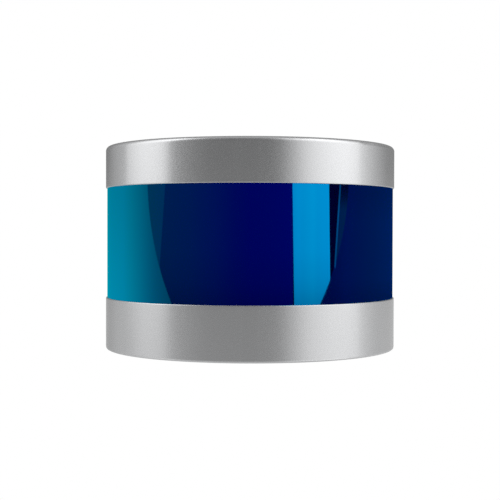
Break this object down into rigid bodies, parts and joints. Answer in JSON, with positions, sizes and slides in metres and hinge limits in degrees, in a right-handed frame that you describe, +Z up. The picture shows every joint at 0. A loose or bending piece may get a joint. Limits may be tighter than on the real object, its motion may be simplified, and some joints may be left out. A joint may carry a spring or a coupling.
{
  "type": "lidar scanner module",
  "caption": "Short round lidar scanner: silver base and cap with a dark blue mirror ring window between, a head that spins inside and a round cable socket at the back.",
  "frame": {"origin": "centre of the mounting face, at the mouth of the mounting thread, on the spin axis", "axes": "+Z up along the spin axis, from the mounting face to the cap; the cable socket faces +Y, and -Y is the front"},
  "size_m": [0.1032, 0.1171, 0.0717],
  "materials": {
    "housing_paint": "silver metallic paint, satin",
    "plate_metal": "machined, clear anodised",
    "window_plastic": "clear blue coating, mirror gloss",
    "seal_rubber": "matte black rubber",
    "screw_steel": "stainless steel",
    "turned_steel": "turned stainless steel",
    "race_steel": "ground bearing steel",
    "cage_brass": "turned brass",
    "lamination_steel": "varnished laminations",
    "winding_copper": "enamelled copper wire",
    "yoke_steel": "zinc-plated steel",
    "magnet_nickel": "nickel plated",
    "ferrite": "sintered ferrite",
    "carrier_metal": "turned aluminium",
    "encoder_metal": "etched thin sheet",
    "chassis_black": "black anodised",
    "divider_black": "matte black",
    "lens_glass": "coated optical glass",
    "board_green": "solder-masked laminate",
    "chip_black": "moulded epoxy",
    "diode_metal": "gold-plated package",
    "weight_brass": "turned brass",
    "connector_nickel": "matte nickel plate",
    "insert_black": "moulded insulator",
    "pin_gold": "gold plate",
    "lead_insulation": "extruded insulation"
  },
  "bodies": {
    "base": {"base_housing": "housing_paint", "base_plate": "plate_metal", "base_plate_screws": "screw_steel", "base_plate_seal": "seal_rubber", "bearing_lock_nut": "turned_steel", "center_shaft": "turned_steel", "coil_carrier": "carrier_metal", "coil_leads": "lead_insulation", "connector_insert": "insert_black", "connector_leads": "lead_insulation", "connector_pins": "pin_gold", "connector_screws": "screw_steel", "connector_seal": "seal_rubber", "connector_shell": "connector_nickel", "encoder_reader": "chip_black", "fixed_coil": "winding_copper", "fixed_core": "ferrite", "interface_board": "board_green", "interface_board_chips": "chip_black", "interface_board_screws": "screw_steel", "lead_header": "insert_black", "lower_bearing_inner_race": "race_steel", "lower_window_seal": "seal_rubber", "preload_spring": "turned_steel", "shaft_screws": "screw_steel", "stator_core": "lamination_steel", "stator_windings": "winding_copper", "top_cap": "housing_paint", "upper_bearing_inner_race": "race_steel", "upper_window_seal": "seal_rubber", "window_ring": "window_plastic"},
    "head": {"optics_chassis": "chassis_black", "transmit_lens": "lens_glass", "receive_lens": "lens_glass", "lens_retainers": "chassis_black", "stray_light_divider": "divider_black", "emitter_boards": "board_green", "laser_diodes": "diode_metal", "detector_boards": "board_green", "photodiodes": "diode_metal", "emitter_backplane": "board_green", "detector_backplane": "board_green", "backplane_screws": "screw_steel", "head_board": "board_green", "head_board_chips": "chip_black", "head_board_screws": "screw_steel", "balance_weight": "weight_brass", "rotating_core": "ferrite", "rotating_coil": "winding_copper", "motor_bell": "carrier_metal", "bell_screws": "screw_steel", "motor_yoke": "yoke_steel", "motor_magnets": "magnet_nickel", "encoder_disc": "encoder_metal", "lower_bearing_outer_race": "race_steel", "upper_bearing_outer_race": "race_steel"},
    "lower_cage": {"lower_bearing_balls": "race_steel", "lower_bearing_cage": "cage_brass"},
    "upper_cage": {"upper_bearing_balls": "race_steel", "upper_bearing_cage": "cage_brass"}
  },
  "joints": [
    {"name": "head_spin", "type": "hinge", "parent": "base", "child": "head", "pos_m": [0, 0, 0.04], "axis": [0, 0, 1], "continuous": true},
    {"name": "lower_cage_spin", "type": "hinge", "parent": "base", "child": "lower_cage", "pos_m": [0, 0, 0.0325], "axis": [0, 0, 1], "continuous": true},
    {"name": "upper_cage_spin", "type": "hinge", "parent": "base", "child": "upper_cage", "pos_m": [0, 0, 0.053], "axis": [0, 0, 1], "continuous": true}
  ],
  "couplings": [
    {"joint": "lower_cage_spin", "follows": "head_spin", "ratio": 0.5821},
    {"joint": "upper_cage_spin", "follows": "head_spin", "ratio": 0.5821}
  ]
}
